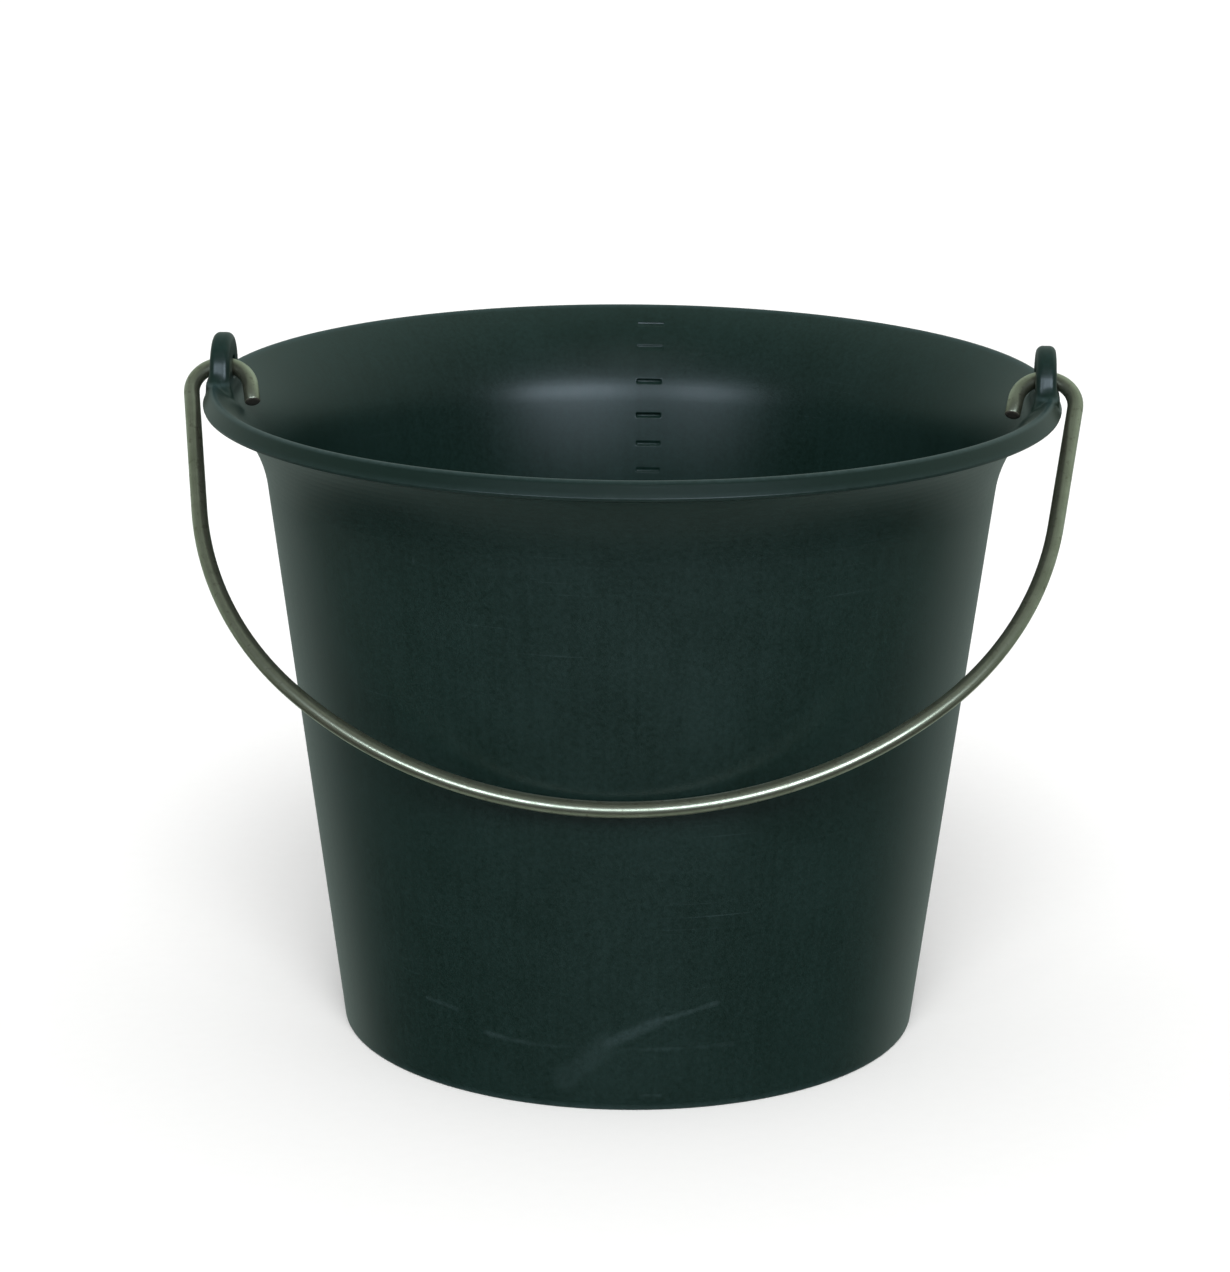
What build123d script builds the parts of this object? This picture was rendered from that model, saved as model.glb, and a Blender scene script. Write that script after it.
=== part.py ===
from build123d import *
import os
from math import acos, asin, atan2, cos, degrees, isclose, radians, sin, sqrt, tan

# Bucket body, one plastic moulding
rim_height = 250.0          # ground to the crest of the rim
crest_diameter = 316.4      # ring along the top of the rim
base_diameter = 222.0       # outside of the foot, at the ground
wall_taper = 7.26           # degrees from the vertical
wall_thickness = 3.2
flare_height = 36.0         # the part of the wall that flares out below the crest
crest_round = 2.0           # radius along the top of the rim
collar_drop = 7.0           # crest to the middle of the turned-down collar's lower edge
collar_lean = 24.5          # degrees that the collar leans outwards
collar_thickness = 3.0
collar_break = 0.8          # corners of its lower edge
floor_thickness = 3.6
floor_round = 9.0           # inside corner between floor and wall
foot_height = 6.0           # the floor's underside above the ground
foot_thickness = 4.2
foot_break = 1.0            # outer corner at the ground
gate_diameter = 9.0         # mark of the moulding gate, in the middle of the underside
gate_stand = 0.8

# Lugs that stand on the rim and hold the bail
lug_inset = 2.6             # middle of the lug inside the crest
lug_thickness = 7.8         # along the pivot axis, at the pivot
lug_draft = 1.0             # degrees, each face
lug_head_radius = 13.0      # round the pivot
lug_root_width = 31.0
lug_sink = 6.5              # crest to the root
lug_round = 2.5             # edges of the lug
pivot_rise = 4.2            # pivot axis above the crest
eye_break = 0.6             # mouth of the hole

# Scale of sunk dashes on the rear of the inside
dash_drops = (6.6, 14.8, 27.9, 41.7, 53.3, 64.2)   # crest to the middle of each dash
dash_length = 10.5
dash_width = 2.0
dash_depth = 0.8

# Bail, one bent steel wire
wire_diameter = 6.0
bail_reach = 185.0          # pivot axis to the middle of the wire at the bottom
bail_bottom_radius = 177.0
bail_bottom_angle = 41.9    # degrees each side of the middle
arm_lean = 8.4              # degrees that the arms lean inwards
hook_radius = 11.2          # middle of the wire
hook_turn = 79.0            # degrees past the top of the hook
tail_length = 7.4
tail_chamfer = 0.4

# Clearances
eye_clearance = 0.7         # between the wire and the hole of the lug
rest_gap = 0.3              # between the resting bail and the wall

wire_radius = wire_diameter / 2
base_radius = base_diameter / 2
crest_radius = crest_diameter / 2
lug_radius = crest_radius - lug_inset
pivot_height = rim_height + pivot_rise
floor_top = foot_height + floor_thickness
wall_slope = tan(radians(wall_taper))
inner_base_radius = base_radius - wall_thickness / cos(radians(wall_taper))

# The flare is an arc that leaves the inner wall and runs into the round of the crest
flare_start = (inner_base_radius + wall_slope * (rim_height - flare_height), rim_height - flare_height)
crest_centre = (crest_radius, rim_height - crest_round)
flare_across = crest_centre[0] - flare_start[0]
flare_up = crest_centre[1] - flare_start[1]
flare_offset = flare_across * cos(radians(wall_taper)) - flare_up * sin(radians(wall_taper))
flare_radius = (flare_across**2 + flare_up**2 - crest_round**2) / (2 * (flare_offset - crest_round))
flare_centre = (
    flare_start[0] + flare_radius * cos(radians(wall_taper)),
    flare_start[1] - flare_radius * sin(radians(wall_taper)),
)
flare_end = degrees(atan2(crest_centre[1] - flare_centre[1], flare_centre[0] - crest_centre[0]))
collar_heading = 180 - collar_lean


def on_arc(centre, radius, heading):
    """Point of an arc of the section where it heads so many degrees from the vertical."""
    turn = radians(heading)
    return (centre[0] - radius * cos(turn), centre[1] + radius * sin(turn))


def section_arc(centre, radius, first, last):
    """Arc of the section between two headings."""
    stops = (first, (first + last) / 2, last)
    return ThreePointArc(*(on_arc(centre, radius, stop) for stop in stops))


def inner_surface(height):
    """Radius and heading of the inside of the wall at a height."""
    if height <= flare_start[1]:
        return inner_base_radius + wall_slope * height, wall_taper
    heading = asin((height - flare_centre[1]) / flare_radius)
    return flare_centre[0] - flare_radius * cos(heading), degrees(heading)


def body_section():
    """Half section of the moulding, in radius and height."""
    back_radius = flare_radius - wall_thickness
    along = (sin(radians(collar_heading)), cos(radians(collar_heading)))
    across = (cos(radians(collar_heading)), -sin(radians(collar_heading)))

    # Where the collar's inner face meets the back of the flare
    reach = (flare_centre[0] - crest_centre[0]) * across[0] + (flare_centre[1] - crest_centre[1]) * across[1]
    groove_heading = collar_heading - degrees(acos((reach + crest_round - collar_thickness) / back_radius))

    # Lower edge of the collar, from its inner face to its outer face
    edge_drop = collar_drop - crest_round - (crest_round - collar_thickness / 2) * across[1]
    run = edge_drop / -along[1]
    edge = []
    for back, depth in (
        (collar_break, collar_thickness),
        (0, collar_thickness - collar_break),
        (0, collar_break),
        (collar_break, 0),
    ):
        offset = depth - crest_round
        edge.append(tuple(crest_centre[i] + (run - back) * along[i] + offset * across[i] for i in (0, 1)))

    foot = Polyline(
        (0, foot_height),
        (base_radius - foot_thickness, foot_height),
        (base_radius - foot_thickness, 0),
        (base_radius - foot_break, 0),
        (base_radius + wall_slope * foot_break, foot_break),
        on_arc(flare_centre, back_radius, wall_taper),
    )
    inside = FilletPolyline(
        on_arc(flare_centre, flare_radius, wall_taper),
        (inner_base_radius + wall_slope * floor_top, floor_top),
        (0, floor_top),
        radius=floor_round,
    )
    outline = [
        foot,
        section_arc(flare_centre, back_radius, wall_taper, groove_heading),
        Polyline(
            on_arc(flare_centre, back_radius, groove_heading),
            *edge,
            on_arc(crest_centre, crest_round, collar_heading),
        ),
        section_arc(crest_centre, crest_round, collar_heading, flare_end),
        section_arc(flare_centre, flare_radius, flare_end, wall_taper),
        inside,
        Line((0, floor_top), (0, foot_height)),
    ]
    return Plane.XZ * make_face(Curve() + outline)


def hook_in_lug():
    """Rise of the hook's top above the pivot axis and the radius that it sweeps inside the lug."""
    half = lug_thickness / 2
    drop = hook_radius - sqrt(hook_radius**2 - half**2)
    lowest = drop + wire_radius / cos(asin(half / hook_radius))
    return (lowest - wire_radius) / 2, (lowest + wire_radius) / 2


hook_rise, hook_sweep = hook_in_lug()
eye_radius = hook_sweep + eye_clearance


def lug():
    """One lug on +X: a rounded tongue with drafted faces and the hole for the bail."""
    root_height = rim_height - lug_sink
    top_height = pivot_height + lug_head_radius
    head = CenterArc((0, pivot_height), lug_head_radius, 0, 360)
    root = Line((-lug_root_width / 2, root_height), (lug_root_width / 2, root_height))
    tongue = extrude(Plane.YZ * make_hull([head, root]), 2 * crest_radius)

    draft = tan(radians(lug_draft))
    root_half = lug_thickness / 2 + draft * (pivot_height - root_height)
    top_half = lug_thickness / 2 - draft * lug_head_radius
    drafted = Polygon(
        (lug_radius - root_half, root_height),
        (lug_radius + root_half, root_height),
        (lug_radius + top_half, top_height),
        (lug_radius - top_half, top_height),
        align=None,
    )
    blank = tongue & extrude(Plane.XZ * drafted, lug_root_width, both=True)
    faces = blank.faces().sort_by(Axis.X)
    outline = [edge for face in (faces[0], faces[-1]) for edge in face.edges()]
    outline = [edge for edge in outline if edge.center().Z > root_height + lug_round]
    blank = fillet(outline, lug_round)

    eye = Plane(origin=(lug_radius, 0, pivot_height), z_dir=(1, 0, 0)) * Cylinder(eye_radius, 4 * lug_thickness)
    drilled = blank - eye
    holes = drilled.faces().filter_by(GeomType.CYLINDER)
    hole = holes.filter_by(lambda face: isclose(face.radius, eye_radius))[0]
    return chamfer(hole.edges().filter_by(GeomType.LINE, reverse=True), eye_break)


def dashes():
    """Cutters for the dashes up the rear of the inside, each square to the wall."""
    cutters = []
    for drop in dash_drops:
        height = rim_height - drop
        radius, heading = inner_surface(height)
        cutter = Box(dash_length, 2 * dash_depth, dash_width)
        cutters.append(Pos(0, radius, height) * Rot(X=-heading) * cutter)
    return cutters


def bucket_body():
    body = revolve(body_section(), Axis.Z)
    gate = Pos(0, 0, foot_height) * Cylinder(gate_diameter / 2, 2 * gate_stand)
    right = lug()
    return body + gate + right + mirror(right, Plane.YZ) - dashes()


def bail_bend(centre, radius, first, last, side):
    """Arc of the bail's middle line, with angles from straight down towards the side."""
    points = []
    for angle in (first, (first + last) / 2, last):
        turn = radians(angle)
        points.append((side * (centre[0] + radius * sin(turn)), centre[1] + radius * cos(turn)))
    return ThreePointArc(*points)


def bail_half(side):
    """Middle line from the bottom of the bail to the cut end of one hook, across and down from the pivot."""
    lean = radians(arm_lean)
    hook_centre = (lug_radius, hook_radius - hook_rise)
    arm_offset = hook_centre[0] * cos(lean) + hook_centre[1] * sin(lean) + hook_radius

    # The shoulder's radius follows from the arm, the bottom arc and the reach
    spare = bail_bottom_radius * (1 - sin(lean)) - arm_offset + bail_reach * sin(lean)
    step = spare / (1 - sin(lean + radians(bail_bottom_angle)))
    shoulder_radius = bail_bottom_radius - step
    bottom_centre = (0, bail_reach - bail_bottom_radius)
    shoulder_centre = (
        step * sin(radians(bail_bottom_angle)),
        bottom_centre[1] + step * cos(radians(bail_bottom_angle)),
    )

    bottom = bail_bend(bottom_centre, bail_bottom_radius, 0, bail_bottom_angle, side)
    shoulder = bail_bend(shoulder_centre, shoulder_radius, bail_bottom_angle, 90 - arm_lean, side)
    hook = bail_bend(hook_centre, hook_radius, 90 - arm_lean, 180 + hook_turn, side)
    arm = Line(shoulder @ 1, hook @ 0)
    tail = Line(hook @ 1, hook @ 1 + tail_length * (hook % 1))
    return [bottom, shoulder, arm, hook, tail]


# Straight down to where the bail rests on the front wall, in degrees
rest_offset = base_radius + wall_slope * pivot_height + (wire_radius + rest_gap) / cos(radians(wall_taper))
rest_angle = degrees(asin(rest_offset * cos(radians(wall_taper)) / bail_reach)) - wall_taper


def wire_bail():
    tilt = radians(rest_angle)
    plane = Plane(origin=(0, 0, pivot_height), x_dir=(1, 0, 0), z_dir=(0, cos(tilt), -sin(tilt)))
    path = Wire([plane * edge for edge in bail_half(-1)[::-1] + bail_half(1)])
    start = Plane(origin=path @ 0, z_dir=path % 0)
    wire = sweep(start * Circle(wire_radius), path=path)
    ends = wire.faces().filter_by(GeomType.PLANE)
    return chamfer([edge for end in ends for edge in end.edges()], tail_chamfer)


os.makedirs("parts", exist_ok=True)
for name, piece in (("bucket_body", bucket_body()), ("wire_bail", wire_bail())):
    export_step(piece, f"parts/{name}.step")
print(f"pivot height {pivot_height:.2f}, rest angle {rest_angle:.3f}, hole radius {eye_radius:.3f}")
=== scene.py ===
from cmath import phase, rect
from math import acos, asin, cos, pi, radians, sin, tan

import bmesh
import bpy
import numpy as np
from mathutils import Euler, Matrix, Vector


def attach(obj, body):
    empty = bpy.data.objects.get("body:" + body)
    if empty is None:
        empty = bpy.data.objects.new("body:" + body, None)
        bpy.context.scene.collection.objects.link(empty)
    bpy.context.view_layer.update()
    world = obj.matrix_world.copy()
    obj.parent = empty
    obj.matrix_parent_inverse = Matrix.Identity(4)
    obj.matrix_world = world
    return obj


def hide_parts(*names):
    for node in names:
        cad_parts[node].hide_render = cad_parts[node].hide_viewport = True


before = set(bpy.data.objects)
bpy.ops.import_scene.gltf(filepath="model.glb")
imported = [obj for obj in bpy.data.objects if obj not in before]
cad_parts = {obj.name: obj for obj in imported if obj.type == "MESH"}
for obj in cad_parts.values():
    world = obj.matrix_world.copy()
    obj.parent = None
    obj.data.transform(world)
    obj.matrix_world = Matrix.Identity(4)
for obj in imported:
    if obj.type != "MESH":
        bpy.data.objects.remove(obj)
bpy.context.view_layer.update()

MM = 0.001
SCENE = bpy.context.scene

# Moulding, in millimetres and radians, with the sizes of the solid that it stands for
RIM_HEIGHT = 250.0
CREST_RADIUS = 158.2
BASE_RADIUS = 111.0
WALL_TAPER = radians(7.26)
WALL_THICKNESS = 3.2
FLARE_HEIGHT = 36.0
CREST_ROUND = 2.0
COLLAR_DROP = 7.0
COLLAR_LEAN = radians(24.5)
COLLAR_THICKNESS = 3.0
COLLAR_BREAK = 0.8
FLOOR_UNDER = 6.0
FLOOR_TOP = 9.6
FLOOR_ROUND = 9.0
FOOT_THICKNESS = 4.2
GATE_RADIUS = 4.5
GATE_STAND = 0.8

# Rounds that the solid leaves out or has as plain breaks
FOOT_ROUND = 1.0
GROOVE_ROUND = 1.2          # under the collar
SMALL_ROUND = 0.4

# Sunk dashes of the scale, up the rear of the inside, drawn finer than the solid's
DASH_DROPS = (6.6, 14.8, 27.9, 41.7, 53.3, 64.2)
DASH_DEPTHS = (0.4, 0.45, 0.8, 0.8, 0.45, 0.25)
DASH_LENGTH = 9.8
DASH_WIDTH = 1.4
DASH_SOFT = 0.3             # half the width of the slope round a dash
DASH_STOPS = (2.5, 1.0, 0.33, -0.33, -1.0)      # points across that slope, from outside

# Lugs
LUG_RADIUS = 155.6
LUG_THICKNESS = 7.8
LUG_DRAFT = tan(radians(1.0))
LUG_HEAD = 12.98            # a little smaller than the solid's, to stay inside it
LUG_ROOT_HALF = 15.5
LUG_ROOT_HEIGHT = 243.5
LUG_ROUND = 2.5
LUG_BLEND = 5.0             # reach of the hollow curve between lug and rim
BLEND_FADE = 6.0            # height above the root where that curve has its full reach
LEAST_BLEND = 0.02          # share of the reach that is left at the root
ROOT_FALL = 0.9             # how steeply the root falls away towards the inside of the flare
ROOT_FALL_START = 2.0       # from the middle of the lug
ROOT_FALL_LENGTH = 6.0
RIM_STRETCH = 16.0          # height of the stretch of rim that a lug grows out of
RIM_SUNK = 0.004            # keeps that stretch just under the shell's own surface
EYE_RADIUS = 4.151
EYE_ROUND = 0.7
PIVOT_HEIGHT = 254.2

# Grid of cubes that the surface of a lug is found in
GRID_STEP = 0.5
GRID_INWARD = 22.0          # from the middle of the lug
GRID_OUTWARD = 9.0
GRID_DOWN = 7.0             # from the root
GRID_MARGIN = 1.0           # on the other sides
SETTLE_STEPS = 8            # that bring the points onto the surface
SLOPE_REACH = 0.02

# Bail
WIRE_RADIUS = 3.0
BAIL_REACH = 185.0
BAIL_BOTTOM_RADIUS = 177.0
BAIL_BOTTOM_ANGLE = radians(41.9)
ARM_LEAN = radians(8.4)
HOOK_RADIUS = 11.2
HOOK_RISE = 0.451
HOOK_TURN = radians(79.0)
TAIL_LENGTH = 7.4
TAIL_ROUND = 0.4
REST_ANGLE = radians(44.615)

# Fineness of the meshes
COLUMNS = 192               # round the moulding
LUG_COLUMNS = 4             # in place of one, at the lugs
ROUND_PARTS = 4
OUTER_FLARE_PARTS = 14
INNER_FLARE_PARTS = 20
CREST_PARTS = 10
FLOOR_ROUND_PARTS = 10
BOTTOM_PARTS = 36
SHOULDER_PARTS = 28
HOOK_PARTS = 28
WIRE_SIDES = 40
GROOVE_CLEAR = radians(4)   # end of the flare's back that is left to the groove's round
SUPPORT = 0.3               # from the end of a long step to the point that stops a round's shading
LONG_STEP = 6 * SUPPORT
WELD = 0.001                # points closer than this become one

# Rub marks on the outer wall: degrees from the front and height of both ends, reach to each side, strength
RUBS = (
    (-8.5, 12.6, -0.5, 28.3, 7.0, 0.11),
    (-0.5, 28.3, 9.1, 38.0, 3.6, 0.26),
    (9.1, 38.0, 19.6, 43.4, 1.8, 0.34),
    (-24.0, 27.5, -14.0, 26.0, 1.6, 0.28),
    (-14.0, 26.0, 4.6, 26.3, 1.2, 0.14),
    (4.6, 26.0, 23.0, 26.0, 1.4, 0.16),
    (-37.0, 36.0, -30.0, 34.8, 1.6, 0.24),
    (5.7, 7.0, 9.5, 7.0, 1.2, 0.5),
    (27.0, 214.0, 27.0, 229.0, 1.2, 0.35),
    (-31.0, 210.0, -31.0, 226.0, 1.2, 0.35),
)
RUB_CORE = 0.2              # share of the reach that has the full strength
RUB_WANDER = 1.8
UNROLLED_RADIUS = 120 * MM  # for lengths along the wall
OUT_STRETCH = 3.0           # counts the wall as thicker, so that no mark comes through to the inside

# Worn edges, with a painted highlight along the crest: where the wear starts and where it is full
CREST_WEAR_AND_HIGHLIGHT = (1.1, 0.2)     # above or below the crest
COLLAR_WEAR = (161.2, 162.0)    # radius, up to the lower edge of the collar
FOOT_WEAR = (2.6, 0.4)      # above the ground

# Other limits of the patterns
COLLAR_SHADE_FADE = 1.0           # outside the crest, to where the collar is smooth and its painted shade full
DUST_TOP = 22.0
DUST_STARTS = 4.0           # inside the outer wall, in the stretched measure
DUST_FULL = 7.0
CUT_STARTS = 0.1            # inside the wire's surface, where the plating ends and the cut end's painted shade starts
CUT_FULL = 0.3

# Studio, in metres, with the name, middle, width and brightness of the boxes
BOXES = (("box_left", -0.72, 1.0, 11), ("box_right", 0.75, 1.35, 15))
BOX_HEIGHT = 0.45
BOX_DEPTH = -1.86
BOX_RISE = 0.58
BOX_AIM = (0, 0.1, 0.2)
KEY_PLACE = (0.1, -1.6, 1.5)
KEY_ANGLE = radians(30)
KEY_STRENGTH = 2.2
ROOM_LIGHT = 0.70           # from the white room, which the eye sees as 1
FLOOR_SIZE = 16

# Camera, fitted to the photograph
LENS = 118.75
SENSOR = 36.0
CAMERA_PLACE = (0.0782, -1.5545, 0.5820)
CAMERA_PITCH = radians(74.52)
CAMERA_TURN = radians(3.1)
CAMERA_ROLL = radians(0.35)


def linear(code):
    """An sRGB hex colour as linear red, green, blue and alpha."""
    channels = [int(code[i:i + 2], 16) / 255 for i in (1, 3, 5)]
    return [c / 12.92 if c <= 0.04045 else ((c + 0.055) / 1.055) ** 2.4 for c in channels] + [1.0]


def per_mm(size):
    """Texture scale whose pattern repeats about every so many millimetres."""
    return 1 / (size * MM)


def smooth(share):
    """Runs gently from 0 to 1 as the share does."""
    share = min(max(share, 0.0), 1.0)
    return share * share * (3 - 2 * share)


def new_piece(name, points, faces, material, body, stands_for, places=None):
    """A smooth closed piece on a body of the frame and in place of a node, from points in millimetres.

    The places, where there are any, say where each point lies for the material's patterns.
    """
    mesh = bpy.data.meshes.new(name)
    mesh.from_pydata((np.array(points) * MM).tolist(), [], faces)
    mesh.polygons.foreach_set("use_smooth", [True] * len(mesh.polygons))
    if places:
        unrolled = mesh.attributes.new("unrolled", "FLOAT_VECTOR", "POINT")
        unrolled.data.foreach_set("vector", (np.array(places) * MM).ravel())
    mesh.materials.append(material)
    form = bmesh.new()
    form.from_mesh(mesh)
    bmesh.ops.remove_doubles(form, verts=form.verts, dist=WELD * MM)
    bmesh.ops.recalc_face_normals(form, faces=form.faces)
    form.to_mesh(mesh)
    form.free()
    piece = bpy.data.objects.new(name, mesh)
    SCENE.collection.objects.link(piece)
    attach(piece, body)
    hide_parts(stands_for)


def tube_faces(rows, columns):
    """Quads between rows of points that each close on themselves."""
    faces = []
    for row in range(rows - 1):
        start = row * columns
        for column in range(columns):
            after = (column + 1) % columns
            faces.append((start + column, start + after, start + columns + after, start + columns + column))
    return faces


# A point of the moulding's section is a complex number: its radius, and its height times 1j.
SLOPE = tan(WALL_TAPER)
INNER_BASE = BASE_RADIUS - WALL_THICKNESS / cos(WALL_TAPER)
FLARE_START = INNER_BASE + (RIM_HEIGHT - FLARE_HEIGHT) * (SLOPE + 1j)
CREST_CENTRE = CREST_RADIUS + (RIM_HEIGHT - CREST_ROUND) * 1j
COLLAR_HEADING = pi - COLLAR_LEAN


def flare():
    """Centre and radius of the arc that leaves the inner wall and runs into the round of the crest."""
    span = CREST_CENTRE - FLARE_START
    offset = (span * rect(1, WALL_TAPER)).real
    radius = (abs(span) ** 2 - CREST_ROUND**2) / (2 * (offset - CREST_ROUND))
    return FLARE_START + rect(radius, -WALL_TAPER), radius


FLARE_CENTRE, FLARE_RADIUS = flare()
FLARE_END = pi - phase(CREST_CENTRE - FLARE_CENTRE)
FLARE_LENGTH = FLARE_RADIUS * (FLARE_END - WALL_TAPER)


def on_arc(centre, radius, heading):
    """Point of an arc of the section where it heads so far from the vertical."""
    return centre - rect(radius, -heading)


def arc(centre, radius, first, last, parts):
    """Points of an arc of the section between two headings."""
    return [on_arc(centre, radius, first + (last - first) * i / parts) for i in range(parts + 1)]


def rounded(corners, parts):
    """Outline through corners, each given as a point and the radius of its round."""
    outline = [corners[0][0]]
    for (before, _), (at, radius), (after, _) in zip(corners, corners[1:], corners[2:]):
        if radius == 0:
            outline.append(at)
            continue
        back = (before - at) / abs(before - at)
        ahead = (after - at) / abs(after - at)
        half = abs(phase(ahead / back)) / 2
        centre = at + (back + ahead) / abs(back + ahead) * radius / sin(half)
        start = at + back * radius / tan(half) - centre
        turn = phase((at + ahead * radius / tan(half) - centre) / start)
        outline += [centre + start * rect(1, turn * i / parts) for i in range(parts + 1)]
    return outline + [corners[-1][0]]


def supported(outline):
    """The outline with a point close to both ends of each long step, where the shading of a round stops."""
    points = [outline[0]]
    for before, after in zip(outline, outline[1:]):
        step = after - before
        if abs(step) > LONG_STEP:
            nudge = step * SUPPORT / abs(step)
            points += [before + nudge, after - nudge]
        points.append(after)
    return points


def outer_section():
    """From the middle of the underside round the foot, up the wall and round the collar to the crest."""
    back_radius = FLARE_RADIUS - WALL_THICKNESS
    along = rect(1, pi / 2 - COLLAR_HEADING)
    inward = rect(1, -COLLAR_HEADING)
    reach = ((FLARE_CENTRE - CREST_CENTRE) * inward.conjugate()).real
    groove = COLLAR_HEADING - acos((reach + CREST_ROUND - COLLAR_THICKNESS) / back_radius)
    run = (COLLAR_DROP - CREST_ROUND - (CREST_ROUND - COLLAR_THICKNESS / 2) * inward.imag) / -along.imag
    edge = CREST_CENTRE + run * along - CREST_ROUND * inward
    foot = BASE_RADIUS - FOOT_THICKNESS
    gate = FLOOR_UNDER - GATE_STAND

    corners = [
        (gate * 1j, 0),
        (GATE_RADIUS + gate * 1j, SMALL_ROUND),
        (GATE_RADIUS + FLOOR_UNDER * 1j, SMALL_ROUND),
        (foot + FLOOR_UNDER * 1j, FOOT_ROUND),
        (foot, SMALL_ROUND),
        (BASE_RADIUS, FOOT_ROUND),
    ]
    back = arc(FLARE_CENTRE, back_radius, WALL_TAPER, groove - GROOVE_CLEAR, OUTER_FLARE_PARTS)
    corners += [(point, 0) for point in back]
    corners += [
        (on_arc(FLARE_CENTRE, back_radius, groove), GROOVE_ROUND),
        (edge + COLLAR_THICKNESS * inward - COLLAR_BREAK * along, SMALL_ROUND),
        (edge + (COLLAR_THICKNESS - COLLAR_BREAK) * inward, SMALL_ROUND),
        (edge + COLLAR_BREAK * inward, SMALL_ROUND),
        (edge - COLLAR_BREAK * along, SMALL_ROUND),
        (on_arc(CREST_CENTRE, CREST_ROUND, COLLAR_HEADING), 0),
    ]
    crest = arc(CREST_CENTRE, CREST_ROUND, COLLAR_HEADING, FLARE_END, CREST_PARTS)
    return supported(rounded(corners, ROUND_PARTS)) + crest[1:]


def on_inside(way):
    """Point of the inside so far down from the crest's round, and the direction into the wall there."""
    if way < FLARE_LENGTH:
        heading = FLARE_END - way / FLARE_RADIUS
        return on_arc(FLARE_CENTRE, FLARE_RADIUS, heading), rect(1, -heading)
    return FLARE_START - rect(way - FLARE_LENGTH, pi / 2 - WALL_TAPER), rect(1, -WALL_TAPER)


def dash_way(drop):
    """How far down the inside a dash lies, from its drop below the crest."""
    height = RIM_HEIGHT - drop
    if height > FLARE_START.imag:
        return FLARE_RADIUS * (FLARE_END - asin((height - FLARE_CENTRE.imag) / FLARE_RADIUS))
    return FLARE_LENGTH + (FLARE_START.imag - height) / cos(WALL_TAPER)


def dash_slope(half):
    """Offsets across a dash with the share of its depth that each has."""
    return {
        side * (half + DASH_SOFT * stop): smooth((1 - stop) / 2)
        for side in (-1, 1)
        for stop in DASH_STOPS
    }


def inner_section():
    """From the crest down the inside to the middle of the floor: points, and how each sinks in a dash."""
    middles = [dash_way(drop) for drop in DASH_DROPS]
    depths = {
        middle + offset: depth * share
        for middle, depth in zip(middles, DASH_DEPTHS)
        for offset, share in dash_slope(DASH_WIDTH / 2).items()
    }
    for i in range(1, INNER_FLARE_PARTS + 1):
        way = FLARE_LENGTH * i / INNER_FLARE_PARTS
        if min(abs(way - middle) for middle in middles) > DASH_WIDTH:
            depths[way] = 0
    rows = []
    for way in sorted(depths):
        point, into = on_inside(way)
        rows.append((point, depths[way] * into))
    corner = INNER_BASE + FLOOR_TOP * (SLOPE + 1j)
    floor = rounded([(rows[-1][0], 0), (corner, FLOOR_ROUND), (FLOOR_TOP * 1j, 0)], FLOOR_ROUND_PARTS)
    return rows + [(point, 0) for point in supported(floor)[1:]]


def shell_columns():
    """Angles round the moulding, closer at lugs and dashes, with the share of a dash's depth at each."""
    rear = pi / 2
    ends = dash_slope(DASH_LENGTH / 2)
    columns = {rear + offset / FLARE_START.real: share for offset, share in ends.items()}
    dash_ends = list(columns)
    fine = LUG_COLUMNS * COLUMNS
    for i in range(fine):
        angle = 2 * pi * i / fine
        by_lug = abs(CREST_RADIUS * sin(angle)) < LUG_ROOT_HALF + 2 * LUG_BLEND
        clear = min(abs(angle - end) for end in dash_ends) > pi / fine
        if by_lug or (i % LUG_COLUMNS == 0 and clear):
            columns[angle] = float(abs(angle - rear) * FLARE_START.real < DASH_LENGTH / 2)
    return sorted(columns.items())


def bucket_shell(material):
    """The moulding without its lugs: the section turned round the axis, with the dashes sunk into it."""
    rows = [(point, 0) for point in outer_section()] + inner_section()
    columns = shell_columns()
    points = []
    for point, sink in rows:
        for angle, share in columns:
            place = point + sink * share
            points.append((place.real * cos(angle), place.real * sin(angle), place.imag))
    faces = tube_faces(len(rows), len(columns))
    new_piece("bucket_shell", points, faces, material, "bucket", "bucket_body")


def both(first, second, radius):
    """Distance to what two shapes have in common, with the edge between them rounded."""
    first, second = first + radius, second + radius
    corner = np.hypot(np.maximum(first, 0), np.maximum(second, 0))
    return np.minimum(np.maximum(first, second), 0) + corner - radius


def to_section(radius, height, outline):
    """Distance of places from a closed outline of the section, below zero inside."""
    place = radius + height * 1j
    nearest = np.full(place.shape, np.inf)
    inside = np.zeros(place.shape, bool)
    for before, after in zip(outline, outline[1:] + outline[:1]):
        step = after - before
        share = np.clip(((place - before) * step.conjugate()).real / abs(step) ** 2, 0, 1)
        nearest = np.minimum(nearest, np.abs(place - before - share * step))
        if step.imag:
            crosses = (before.imag > height) != (after.imag > height)
            inside ^= crosses & (radius < before.real + (height - before.imag) * step.real / step.imag)
    return np.where(inside, -nearest, nearest)


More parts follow.
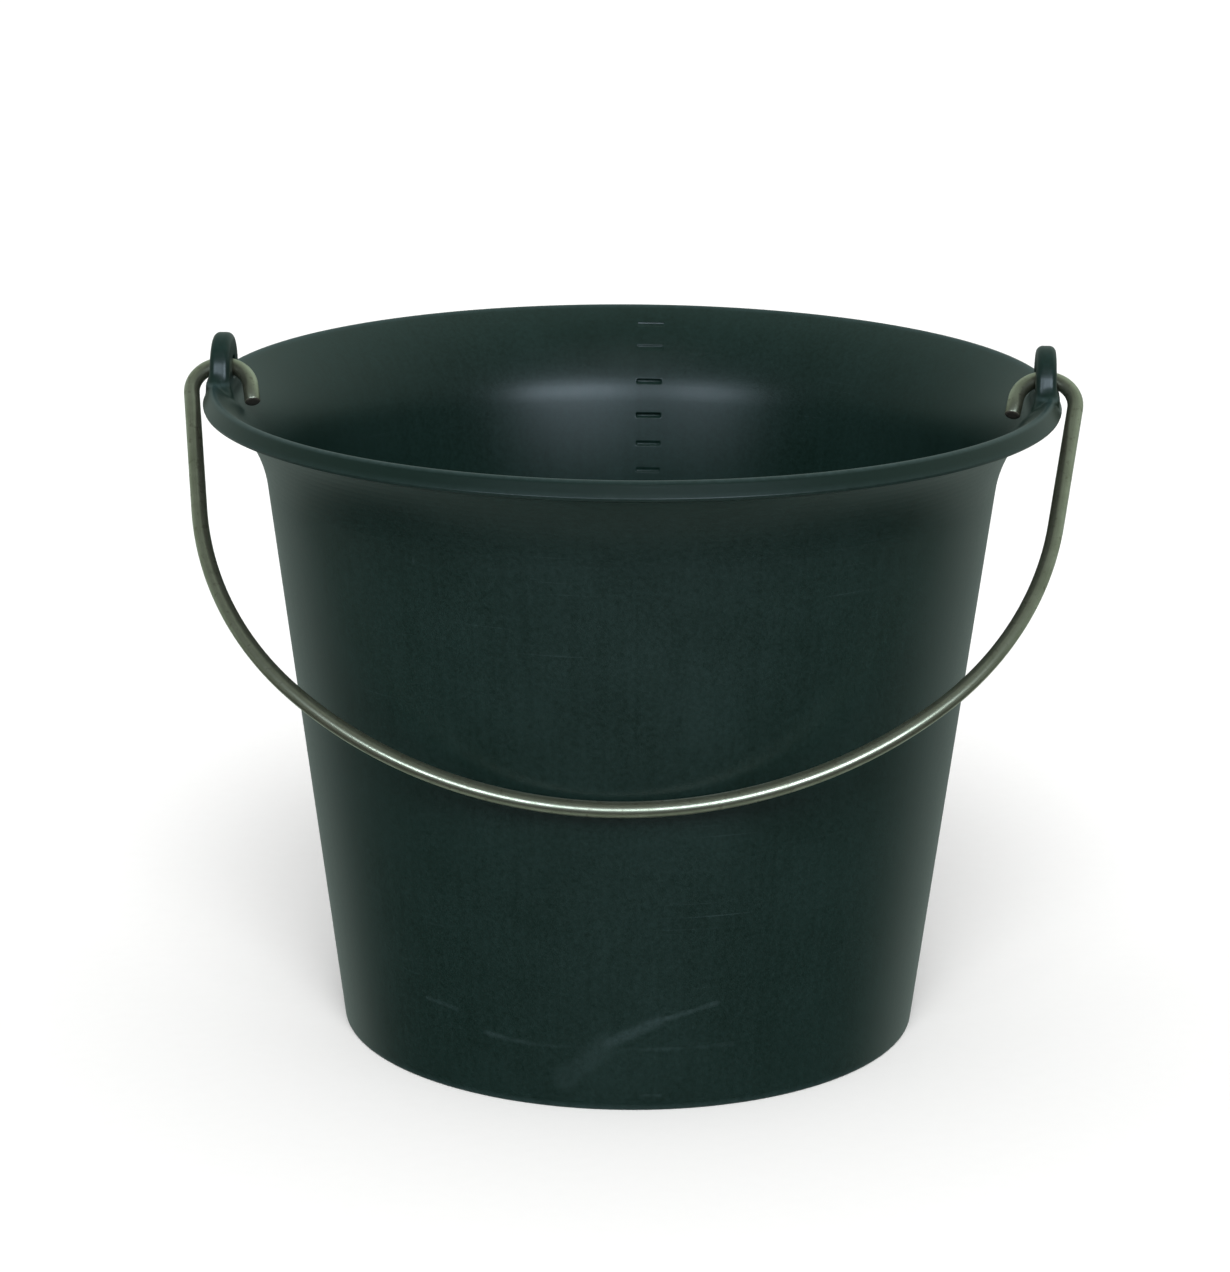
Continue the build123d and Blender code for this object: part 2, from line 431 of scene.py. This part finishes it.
def to_lug(x, y, z, rim):
    """Distance from the right lug and the stretch of rim that it grows out of, below zero inside."""
    # From the side: a round head, and tangents from it to the ends of the root
    spread, rise = np.abs(y), z - PIVOT_HEIGHT
    root = LUG_ROOT_HALF + (LUG_ROOT_HEIGHT - PIVOT_HEIGHT) * 1j
    lean = acos(LUG_HEAD / abs(root)) + phase(root)
    head = np.hypot(spread, rise) - LUG_HEAD
    flank = spread * cos(lean) + rise * sin(lean) - LUG_HEAD
    outline = np.where(np.arctan2(rise, spread) < lean, flank, head)

    # From the front: two drafted faces
    faces = np.abs(x - LUG_RADIUS) - LUG_THICKNESS / 2 + LUG_DRAFT * rise
    tongue = both(outline, faces, LUG_ROUND)

    # The hollow curve where it leaves the rim, which fades towards the root inside the wall
    fall = ROOT_FALL * np.clip(LUG_RADIUS - ROOT_FALL_START - x, 0, ROOT_FALL_LENGTH)
    root_height = LUG_ROOT_HEIGHT - fall
    reach = LUG_BLEND * np.clip((z - root_height) / BLEND_FADE, LEAST_BLEND, 1)
    ring = to_section(np.hypot(x, y), z, rim) + RIM_SUNK
    near = np.maximum(reach - np.abs(tongue - ring), 0)
    grown = np.minimum(tongue, ring) - near * near / (4 * reach)

    # The hole for the bail
    drilled = both(grown, EYE_RADIUS - np.hypot(y, rise), EYE_ROUND)
    return np.maximum(drilled, np.maximum(spread - LUG_ROOT_HALF - LUG_BLEND, root_height - z))


def slope_of(distance, points):
    """Direction in which a distance grows fastest at points."""
    slope = np.empty_like(points)
    for axis in range(3):
        nudge = SLOPE_REACH * np.eye(3)[axis]
        slope[:, axis] = distance(*(points + nudge).T) - distance(*(points - nudge).T)
    return slope / np.linalg.norm(slope, axis=1)[:, None]


def surface_of(distance, low, high):
    """Points and quads of the surface where a distance is zero: one point in each cube that it passes."""
    axes = [np.arange(first, last, GRID_STEP) for first, last in zip(low, high)]
    inside = distance(*np.meshgrid(*axes, indexing="ij")) < 0
    shape = np.array(inside.shape) - 1
    corners = np.zeros(shape, int)
    for i, j, k in np.ndindex(2, 2, 2):
        corners += inside[i:i + shape[0], j:j + shape[1], k:k + shape[2]]
    cubes = np.argwhere((corners > 0) & (corners < 8))
    number = np.full(shape, -1)
    number[tuple(cubes.T)] = np.arange(len(cubes))

    points = np.array(low) + (cubes + 0.5) * GRID_STEP
    for _ in range(SETTLE_STEPS):
        points = points - distance(*points.T)[:, None] * slope_of(distance, points)

    faces = []
    for axis in range(3):
        first, second = np.delete(np.eye(3, dtype=int), axis, 0)
        crossed = np.argwhere(np.diff(inside, axis=axis))
        ring = [number[tuple((crossed - back).T)] for back in (0 * first, first, first + second, second)]
        faces += np.transpose(ring).tolist()
    return points, faces


def lugs(material):
    """Both lugs, each grown out of the rim."""
    section = outer_section() + [point for point, _ in inner_section()]
    rim = [point for point in section if point.imag > RIM_HEIGHT - RIM_STRETCH]

    def distance(x, y, z):
        return to_lug(x, y, z, rim)

    side_reach = LUG_ROOT_HALF + LUG_BLEND + GRID_MARGIN
    low = (LUG_RADIUS - GRID_INWARD, -side_reach, LUG_ROOT_HEIGHT - GRID_DOWN)
    high = (LUG_RADIUS + GRID_OUTWARD, side_reach, PIVOT_HEIGHT + LUG_HEAD + GRID_MARGIN)
    points, faces = surface_of(distance, low, high)
    for side, name in ((1, "lug_right"), (-1, "lug_left")):
        new_piece(name, points * (side, 1, 1), faces, material, "bucket", "bucket_body")


def bail_line():
    """Middle line of the whole wire, as complex numbers: across, and down from the pivot times 1j."""
    hook_centre = LUG_RADIUS + (HOOK_RADIUS - HOOK_RISE) * 1j
    arm_offset = (hook_centre * rect(1, -ARM_LEAN)).real + HOOK_RADIUS
    spare = BAIL_BOTTOM_RADIUS * (1 - sin(ARM_LEAN)) - arm_offset + BAIL_REACH * sin(ARM_LEAN)
    step = spare / (1 - sin(ARM_LEAN + BAIL_BOTTOM_ANGLE))
    bottom_centre = (BAIL_REACH - BAIL_BOTTOM_RADIUS) * 1j
    shoulder_centre = bottom_centre + rect(step, pi / 2 - BAIL_BOTTOM_ANGLE)

    half = []
    for centre, radius, first, last, parts in (
        (bottom_centre, BAIL_BOTTOM_RADIUS, 0, BAIL_BOTTOM_ANGLE, BOTTOM_PARTS),
        (shoulder_centre, BAIL_BOTTOM_RADIUS - step, BAIL_BOTTOM_ANGLE, pi / 2 - ARM_LEAN, SHOULDER_PARTS),
        (hook_centre, HOOK_RADIUS, pi / 2 - ARM_LEAN, pi + HOOK_TURN, HOOK_PARTS),
    ):
        for i in range(parts + 1):
            point = centre + rect(radius, pi / 2 - first - (last - first) * i / parts)
            if not half or abs(point - half[-1]) > TAIL_ROUND:
                half.append(point)
    half.append(half[-1] + rect(TAIL_LENGTH - TAIL_ROUND, -pi - HOOK_TURN))
    return [-point.conjugate() for point in half[:0:-1]] + half


def wire_bail(material):
    """The bent wire: rings along its middle line, closed by a cut end with a broken edge."""
    line = bail_line()
    steps = [after - before for before, after in zip(line, line[1:])]
    lengths = [abs(step) for step in steps]
    tangents = [steps[0]] + [a / abs(a) + b / abs(b) for a, b in zip(steps, steps[1:])] + [steps[-1]]
    tangents = [tangent / abs(tangent) for tangent in tangents]

    travelled = np.concatenate(([0.0], np.cumsum(lengths)))
    rings = [(point, tangent, WIRE_RADIUS, way) for point, tangent, way in zip(line, tangents, travelled)]
    for end, side in ((0, -1), (-1, 1)):
        point, tangent, _, way = rings[end]
        cut = point + side * TAIL_ROUND * tangent
        bevel = [(cut, tangent, radius, way) for radius in (WIRE_RADIUS - TAIL_ROUND, WIRE_RADIUS / 2, 0)]
        rings = rings + bevel if side > 0 else bevel[::-1] + rings

    points = []
    places = []
    for middle, tangent, radius, way in rings:
        for i in range(WIRE_SIDES):
            turn = 2 * pi * i / WIRE_SIDES
            flat = middle + tangent * 1j * radius * cos(turn)
            off = radius * sin(turn)
            points.append((
                flat.real,
                off * cos(REST_ANGLE) - flat.imag * sin(REST_ANGLE),
                PIVOT_HEIGHT - off * sin(REST_ANGLE) - flat.imag * cos(REST_ANGLE),
            ))
            places.append((way, radius * cos(turn), radius * sin(turn)))
    faces = tube_faces(len(rings), WIRE_SIDES)
    new_piece("bent_wire", points, faces, material, "bail", "wire_bail", places)


def node(tree, kind, inputs=None, **settings):
    """Adds a node with its settings, and sets or links its inputs."""
    made = tree.nodes.new(kind)
    for name, value in settings.items():
        setattr(made, name, value)
    for socket, value in (inputs or {}).items():
        if isinstance(value, bpy.types.NodeSocket):
            tree.links.new(value, made.inputs[socket])
        else:
            made.inputs[socket].default_value = value
    return made


def new_material(name):
    """An empty material with its shader and output joined up."""
    material = bpy.data.materials.new(name)
    material.use_nodes = True
    tree = material.node_tree
    tree.nodes.clear()
    shader = node(tree, "ShaderNodeBsdfPrincipled")
    node(tree, "ShaderNodeOutputMaterial", {"Surface": shader.outputs["BSDF"]})
    return material, tree, shader


def on_the_wall(tree, place):
    """Height and radius of a place, how far it lies out of the outer wall, and where on the unrolled wall.

    Where it lies on the unrolled wall is along it, up, and out of it.
    """
    axes = node(tree, "ShaderNodeSeparateXYZ", {"Vector": place}).outputs
    height = axes["Z"]
    flat = node(tree, "ShaderNodeVectorMath", {0: place, 1: (1, 1, 0)}, operation="MULTIPLY").outputs[0]
    radius = node(tree, "ShaderNodeVectorMath", {0: flat}, operation="LENGTH").outputs["Value"]
    forward = node(tree, "ShaderNodeMath", {0: axes["Y"], 1: -1.0}, operation="MULTIPLY").outputs[0]
    angle = node(tree, "ShaderNodeMath", {0: axes["X"], 1: forward}, operation="ARCTAN2").outputs[0]
    along = node(tree, "ShaderNodeMath", {0: angle, 1: UNROLLED_RADIUS}, operation="MULTIPLY").outputs[0]
    wall = node(
        tree, "ShaderNodeMath", {0: height, 1: SLOPE, 2: BASE_RADIUS * MM}, operation="MULTIPLY_ADD"
    ).outputs[0]
    out = node(tree, "ShaderNodeMath", {0: radius, 1: wall}, operation="SUBTRACT").outputs[0]
    out = node(tree, "ShaderNodeMath", {0: out, 1: OUT_STRETCH}, operation="MULTIPLY").outputs[0]
    unrolled = node(tree, "ShaderNodeCombineXYZ", {"X": along, "Y": height, "Z": out}).outputs[0]
    return height, radius, out, unrolled


def mould_finish_and_shade(tree, place, radius, unrolled):
    """Grain of the mould, and how far the surface has gone from smooth and dark to dull and pale, kept low on
    the collar as painted shade.
    """
    # The real grain is too fine to show in the render, so it is drawn coarser
    grain = node(
        tree, "ShaderNodeTexNoise", {"Vector": place, "Scale": per_mm(1.6), "Detail": 3.0, "Roughness": 0.65}
    ).outputs[0]

    # Slow changes of sheen, and faint streaks up the wall
    change = node(
        tree, "ShaderNodeTexNoise", {"Vector": place, "Scale": per_mm(34), "Detail": 4.0}
    ).outputs[0]
    upright = (per_mm(3), per_mm(110), per_mm(30))
    upright = node(tree, "ShaderNodeVectorMath", {0: unrolled, 1: upright}, operation="MULTIPLY").outputs[0]
    streaks = node(tree, "ShaderNodeTexNoise", {"Vector": upright, "Scale": 1.0, "Detail": 3.0}).outputs[0]
    for pattern, share in ((streaks, 0.6), (grain, 2.0)):
        change = node(
            tree, "ShaderNodeMath", {0: pattern, 1: share, 2: change}, operation="MULTIPLY_ADD"
        ).outputs[0]
    change = node(tree, "ShaderNodeMapRange", {"Value": change, "From Min": 1.2, "From Max": 2.4}).outputs[0]

    # The collar, which no other bucket scuffs in a stack, has stayed smooth; its darker tone there is painted
    # shade
    starts, full = CREST_RADIUS * MM, (CREST_RADIUS + COLLAR_SHADE_FADE) * MM
    collar = node(
        tree, "ShaderNodeMapRange",
        {"Value": radius, "From Min": starts, "From Max": full, "To Min": 1.0, "To Max": 0.2},
    ).outputs[0]
    change = node(tree, "ShaderNodeMath", {0: change, 1: collar}, operation="MULTIPLY").outputs[0]
    return grain, change


def handling_scratches(tree, place, unrolled):
    """Level scratches from handling, a few in patches."""
    # Real ones are too fine to show in the render, so they are drawn coarser
    level = (per_mm(60), per_mm(0.6), per_mm(8))
    level = node(tree, "ShaderNodeVectorMath", {0: unrolled, 1: level}, operation="MULTIPLY").outputs[0]
    lines = node(tree, "ShaderNodeTexNoise", {"Vector": level, "Scale": 1.0, "Detail": 2.0}).outputs[0]
    lines = node(
        tree, "ShaderNodeMapRange", {"Value": lines, "From Min": 0.68, "From Max": 0.78, "To Max": 0.25}
    ).outputs[0]
    patches = node(
        tree, "ShaderNodeTexNoise", {"Vector": place, "Scale": per_mm(46), "Detail": 1.0}
    ).outputs[0]
    patches = node(
        tree, "ShaderNodeMapRange", {"Value": patches, "From Min": 0.5, "From Max": 0.62}
    ).outputs[0]
    return node(tree, "ShaderNodeMath", {0: lines, 1: patches}, operation="MULTIPLY").outputs[0]


def edge_wear_and_highlight(tree, height, radius):
    """Wear on the crest, on the collar's edge and on the foot, from 0 to 1; on the crest it is also a painted
    highlight.
    """
    crest = node(tree, "ShaderNodeMath", {0: height, 1: RIM_HEIGHT * MM}, operation="SUBTRACT").outputs[0]
    crest = node(tree, "ShaderNodeMath", {0: crest}, operation="ABSOLUTE").outputs[0]
    wear_and_highlight = 0.0
    for measure, (starts, full), strength in (
        (crest, CREST_WEAR_AND_HIGHLIGHT, 0.35),
        (radius, COLLAR_WEAR, 0.12),
        (height, FOOT_WEAR, 0.3),
    ):
        edge = node(
            tree, "ShaderNodeMapRange",
            {"Value": measure, "From Min": starts * MM, "From Max": full * MM, "To Max": strength},
        ).outputs[0]
        wear_and_highlight = node(tree, "ShaderNodeMath", {0: wear_and_highlight, 1: edge}, operation="MAXIMUM").outputs[0]
    return wear_and_highlight


def rub_marks(tree, place, unrolled):
    """The rub marks of the outer wall, from 0 to 1, which wander a little."""
    wander = node(tree, "ShaderNodeTexNoise", {"Vector": place, "Scale": per_mm(9), "Detail": 2.0})
    unrolled = node(
        tree, "ShaderNodeVectorMath",
        {0: wander.outputs["Color"], 1: (RUB_WANDER * MM,) * 3, 2: unrolled},
        operation="MULTIPLY_ADD",
    ).outputs[0]
    marks = 0.0
    for first_angle, first_height, last_angle, last_height, reach, strength in RUBS:
        first = Vector((radians(first_angle) * UNROLLED_RADIUS, first_height * MM, 0))
        span = Vector((radians(last_angle) * UNROLLED_RADIUS, last_height * MM, 0)) - first
        offset = node(tree, "ShaderNodeVectorMath", {0: unrolled, 1: first}, operation="SUBTRACT").outputs[0]
        share = node(
            tree, "ShaderNodeVectorMath", {0: offset, 1: span / span.length_squared}, operation="DOT_PRODUCT"
        ).outputs["Value"]
        share = node(tree, "ShaderNodeClamp", {"Value": share}).outputs[0]
        nearest = node(tree, "ShaderNodeVectorMath", {0: span, "Scale": share}, operation="SCALE").outputs[0]
        away = node(
            tree, "ShaderNodeVectorMath", {0: offset, 1: nearest}, operation="DISTANCE"
        ).outputs["Value"]
        mark = node(
            tree, "ShaderNodeMapRange",
            {"Value": away, "From Min": reach * MM, "From Max": RUB_CORE * reach * MM, "To Max": strength},
            interpolation_type="SMOOTHSTEP",
        ).outputs[0]
        marks = node(tree, "ShaderNodeMath", {0: marks, 1: mark}, operation="MAXIMUM").outputs[0]
    return marks


def floor_dust(tree, place, height, out):
    """Dry dust on the inside of the floor and in its corner."""
    dust = node(
        tree, "ShaderNodeTexNoise", {"Vector": place, "Scale": per_mm(17), "Detail": 8.0, "Roughness": 0.7}
    ).outputs[0]
    dust = node(
        tree, "ShaderNodeMapRange", {"Value": dust, "From Min": 0.42, "From Max": 0.75, "To Max": 0.3}
    ).outputs[0]
    low = node(
        tree, "ShaderNodeMapRange", {"Value": height, "From Min": DUST_TOP * MM, "From Max": FLOOR_TOP * MM}
    ).outputs[0]
    inside = node(
        tree, "ShaderNodeMapRange", {"Value": out, "From Min": -DUST_STARTS * MM, "From Max": -DUST_FULL * MM}
    ).outputs[0]
    above = node(
        tree, "ShaderNodeMath", {0: height, 1: (FLOOR_UNDER + FLOOR_TOP) / 2 * MM}, operation="GREATER_THAN"
    ).outputs[0]
    for mask in (low, inside, above):
        dust = node(tree, "ShaderNodeMath", {0: dust, 1: mask}, operation="MULTIPLY").outputs[0]
    return dust


def moulded_polyethylene():
    """High-density polyethylene, coloured dark green-black and injection moulded.

    The satin mould gives a soft broad sheen and a fine grain.
    Use has left scuffs, which are paler and duller.
    """
    material, tree, shader = new_material("moulded_polyethylene")
    place = node(tree, "ShaderNodeTexCoord").outputs["Object"]
    height, radius, out, unrolled = on_the_wall(tree, place)
    # change is held low on the collar, which paints shade there as well as keeping it smoother
    grain, change = mould_finish_and_shade(tree, place, radius, unrolled)
    scratches = handling_scratches(tree, place, unrolled)
    dust = floor_dust(tree, place, height, out)

    # Rubbing catches the high spots first, so that the marks and worn edges, with the crest's painted
    # highlight, are broken up
    marks = rub_marks(tree, place, unrolled)
    edges_and_highlight = edge_wear_and_highlight(tree, height, radius)
    rubs_and_highlight = node(tree, "ShaderNodeMath", {0: marks, 1: edges_and_highlight}, operation="MAXIMUM").outputs[0]
    broken = node(
        tree, "ShaderNodeTexNoise", {"Vector": place, "Scale": per_mm(2.4), "Detail": 5.0, "Roughness": 0.65}
    ).outputs[0]
    broken = node(
        tree, "ShaderNodeMapRange", {"Value": broken, "From Min": 0.36, "From Max": 0.62, "To Min": 0.45}
    ).outputs[0]
    rubs_and_highlight = node(tree, "ShaderNodeMath", {0: rubs_and_highlight, 1: broken}, operation="MULTIPLY").outputs[0]
    wear_and_highlight = node(tree, "ShaderNodeMath", {0: rubs_and_highlight, 1: scratches}, operation="MAXIMUM").outputs[0]

    # Pale where worn and, along the crest, as a painted highlight; darker on the collar as painted shade
    tone = linear("#0b1e19")
    for share, colour in ((change, "#152b28"), (wear_and_highlight, "#3e5356"), (dust, "#6f716a")):
        tone = node(
            tree, "ShaderNodeMix", {"Factor": share, "A": tone, "B": linear(colour)}, data_type="RGBA"
        ).outputs["Result"]
    sheen = node(tree, "ShaderNodeMapRange", {"Value": change, "To Min": 0.31, "To Max": 0.37}).outputs[0]
    for share, duller in ((wear_and_highlight, 0.16), (dust, 0.35)):
        sheen = node(
            tree, "ShaderNodeMath", {0: share, 1: duller, 2: sheen}, operation="MULTIPLY_ADD"
        ).outputs[0]
    relief = node(
        tree, "ShaderNodeMath", {0: scratches, 1: -0.8, 2: grain}, operation="MULTIPLY_ADD"
    ).outputs[0]
    bump = node(tree, "ShaderNodeBump", {"Height": relief, "Strength": 0.12, "Distance": 0.15 * MM})
    tree.links.new(tone, shader.inputs["Base Color"])
    tree.links.new(sheen, shader.inputs["Roughness"])
    tree.links.new(bump.outputs[0], shader.inputs["Normal"])
    shader.inputs["IOR"].default_value = 1.52
    return material


def zinc_plated_wire():
    """Drawn steel wire with a thin zinc plating.

    The plating has dulled to an olive grey with cloudy spots, over fine streaks from drawing the wire.
    The cut ends are bare steel, whose dark tone is also painted shade.
    """
    material, tree, shader = new_material("zinc_plated_wire")
    place = node(tree, "ShaderNodeAttribute", attribute_name="unrolled").outputs["Vector"]
    across = node(tree, "ShaderNodeVectorMath", {0: place, 1: (0, 1, 1)}, operation="MULTIPLY").outputs[0]
    radius = node(tree, "ShaderNodeVectorMath", {0: across}, operation="LENGTH").outputs["Value"]
    cut_starts, cut_full = (WIRE_RADIUS - CUT_STARTS) * MM, (WIRE_RADIUS - CUT_FULL) * MM
    cut = node(
        tree, "ShaderNodeMapRange", {"Value": radius, "From Min": cut_starts, "From Max": cut_full}
    ).outputs[0]

    cloud = node(
        tree, "ShaderNodeTexNoise", {"Vector": place, "Scale": per_mm(8), "Detail": 5.0, "Roughness": 0.6}
    ).outputs[0]
    spots = node(
        tree, "ShaderNodeTexNoise", {"Vector": place, "Scale": per_mm(2.6), "Detail": 3.0}
    ).outputs[0]
    spots = node(
        tree, "ShaderNodeMapRange", {"Value": spots, "From Min": 0.58, "From Max": 0.70, "To Max": 0.7}
    ).outputs[0]

    # The real streaks are too fine to show in the render, so they are drawn coarser
    drawn = (per_mm(45), per_mm(0.6), per_mm(0.6))
    drawn = node(tree, "ShaderNodeVectorMath", {0: place, 1: drawn}, operation="MULTIPLY").outputs[0]
    streaks = node(tree, "ShaderNodeTexNoise", {"Vector": drawn, "Scale": 1.0, "Detail": 3.0}).outputs[0]
    mottle = node(tree, "ShaderNodeMath", {0: streaks, 1: 0.5, 2: cloud}, operation="MULTIPLY_ADD").outputs[0]
    mottle = node(
        tree, "ShaderNodeMapRange", {"Value": mottle, "From Min": 0.5, "From Max": 1.0}
    ).outputs[0]

    # The bare cut ends are darker, partly as painted shade
    tone = linear("#acad95")
    for share, colour in ((mottle, "#cdceb8"), (spots, "#98937d"), (cut, "#5d5b55")):
        tone = node(
            tree, "ShaderNodeMix", {"Factor": share, "A": tone, "B": linear(colour)}, data_type="RGBA"
        ).outputs["Result"]
    sheen = node(tree, "ShaderNodeMapRange", {"Value": mottle, "To Min": 0.36, "To Max": 0.28}).outputs[0]
    for share, duller in ((spots, 0.14), (cut, 0.2)):
        sheen = node(
            tree, "ShaderNodeMath", {0: share, 1: duller, 2: sheen}, operation="MULTIPLY_ADD"
        ).outputs[0]
    metal = node(tree, "ShaderNodeMapRange", {"Value": cut, "To Min": 0.96, "To Max": 0.26}).outputs[0]
    bump = node(tree, "ShaderNodeBump", {"Height": streaks, "Strength": 0.15, "Distance": 0.06 * MM})
    tree.links.new(tone, shader.inputs["Base Color"])
    tree.links.new(metal, shader.inputs["Metallic"])
    tree.links.new(sheen, shader.inputs["Roughness"])
    tree.links.new(bump.outputs[0], shader.inputs["Normal"])
    return material


def matt_white_paper():
    """Matt white paper, with the faint cloudiness of its fibres."""
    material, tree, shader = new_material("matt_white_paper")
    place = node(tree, "ShaderNodeTexCoord").outputs["Object"]
    fibres = node(tree, "ShaderNodeTexNoise", {"Vector": place, "Scale": per_mm(6), "Detail": 4.0}).outputs[0]
    tone = node(
        tree, "ShaderNodeMix",
        {"Factor": fibres, "A": linear("#f9f9f8"), "B": linear("#fcfcfb")},
        data_type="RGBA",
    ).outputs["Result"]
    tree.links.new(tone, shader.inputs["Base Color"])
    shader.inputs["Roughness"].default_value = 1.0
    shader.inputs["Specular IOR Level"].default_value = 0.0
    return material


def pale_floor(material):
    """The floor under the bucket, which the gloss doesn't see."""
    bpy.ops.mesh.primitive_plane_add(size=FLOOR_SIZE)
    floor = bpy.context.object
    floor.name = "floor"
    floor.data.materials.append(material)
    floor.visible_glossy = False


def white_room():
    """White surroundings, which the gloss sees as a dimmer room."""
    world = bpy.data.worlds.new("studio")
    world.use_nodes = True
    SCENE.world = world
    tree = world.node_tree
    tree.nodes.clear()
    direction = node(tree, "ShaderNodeTexCoord").outputs["Generated"]
    way = node(tree, "ShaderNodeSeparateXYZ", {"Vector": direction}).outputs

    # For the gloss it is paler towards the back, and high up, most of all on the right
    behind = node(
        tree, "ShaderNodeMapRange",
        {"Value": way["Y"], "From Min": -0.9, "From Max": 0.95, "To Min": 0.05, "To Max": 0.43},
        interpolation_type="SMOOTHSTEP",
    ).outputs[0]
    high = node(
        tree, "ShaderNodeMapRange", {"Value": way["Z"], "From Min": 0.0, "From Max": 0.5, "To Max": 0.4}
    ).outputs[0]
    right = node(tree, "ShaderNodeMath", {0: way["X"], 1: 0.4}, operation="ADD").outputs[0]
    right = node(tree, "ShaderNodeMath", {0: right, 1: high, 2: 1.0}, operation="MULTIPLY_ADD").outputs[0]
    behind = node(tree, "ShaderNodeMath", {0: behind, 1: right}, operation="MULTIPLY").outputs[0]

    # It is dark low down, but not towards the back, and a little light comes from straight below
    above = node(
        tree, "ShaderNodeMapRange",
        {"Value": way["Z"], "From Min": -0.52, "From Max": -0.22, "To Min": 0.03},
        interpolation_type="SMOOTHSTEP",
    ).outputs[0]
    aside = node(
        tree, "ShaderNodeMapRange",
        {"Value": way["Y"], "From Min": 0.15, "From Max": 0.7},
        interpolation_type="SMOOTHSTEP",
    ).outputs[0]
    below = node(
        tree, "ShaderNodeMapRange",
        {"Value": way["Z"], "From Min": -0.68, "From Max": -0.92, "To Max": 0.24},
        interpolation_type="SMOOTHSTEP",
    ).outputs[0]
    pale = node(tree, "ShaderNodeMath", {0: above, 1: aside}, operation="MAXIMUM").outputs[0]
    level = node(tree, "ShaderNodeMath", {0: behind, 1: pale, 2: below}, operation="MULTIPLY_ADD").outputs[0]

    ray = node(tree, "ShaderNodeLightPath").outputs
    plain = node(
        tree, "ShaderNodeMapRange", {"Value": ray["Is Camera Ray"], "To Min": ROOM_LIGHT, "To Max": 1.0}
    ).outputs[0]
    seen = node(tree, "ShaderNodeBackground", {"Color": linear("#ffffff"), "Strength": plain}).outputs[0]
    gloss = node(tree, "ShaderNodeBackground", {"Color": linear("#e4fbf0"), "Strength": level}).outputs[0]
    either = node(tree, "ShaderNodeMixShader", {0: ray["Is Glossy Ray"], 1: seen, 2: gloss}).outputs[0]
    node(tree, "ShaderNodeOutputWorld", {"Surface": either})


def hang(name, light, place, aim, for_gloss):
    """Hangs a light at a place, pointed at another, either for the gloss alone or for all but the gloss."""
    holder = bpy.data.objects.new(name, light)
    SCENE.collection.objects.link(holder)
    holder.location = place
    holder.rotation_euler = (Vector(aim) - Vector(place)).to_track_quat("-Z", "Y").to_euler()
    holder.visible_glossy = for_gloss
    holder.visible_diffuse = not for_gloss


def lights():
    """Two boxes in front for the gloss, and a broad soft key from above for the rest."""
    for name, across, width, brightness in BOXES:
        box = bpy.data.lights.new(name, "AREA")
        box.shape = "RECTANGLE"
        box.size = width
        box.size_y = BOX_HEIGHT
        box.energy = brightness * width
        box.color = linear("#dcefff")[:3]
        hang(name, box, (across, BOX_DEPTH, BOX_RISE), BOX_AIM, True)

    key = bpy.data.lights.new("key", "SUN")
    key.angle = KEY_ANGLE
    key.energy = KEY_STRENGTH
    hang("key", key, KEY_PLACE, (0, 0, 0), False)


def camera():
    """The photograph's view, from a little above the rim."""
    lens = bpy.data.cameras.new("camera")
    lens.sensor_fit = "AUTO"
    lens.sensor_width = SENSOR
    lens.lens = LENS
    holder = bpy.data.objects.new("camera", lens)
    SCENE.collection.objects.link(holder)
    holder.location = CAMERA_PLACE
    turn = Euler((CAMERA_PITCH, 0, CAMERA_TURN)).to_matrix() @ Matrix.Rotation(CAMERA_ROLL, 3, "Z")
    holder.rotation_euler = turn.to_euler()
    SCENE.camera = holder


moulding = moulded_polyethylene()
bucket_shell(moulding)
lugs(moulding)
wire_bail(zinc_plated_wire())
pale_floor(matt_white_paper())
white_room()
lights()
camera()
SCENE.view_settings.view_transform = "Standard"
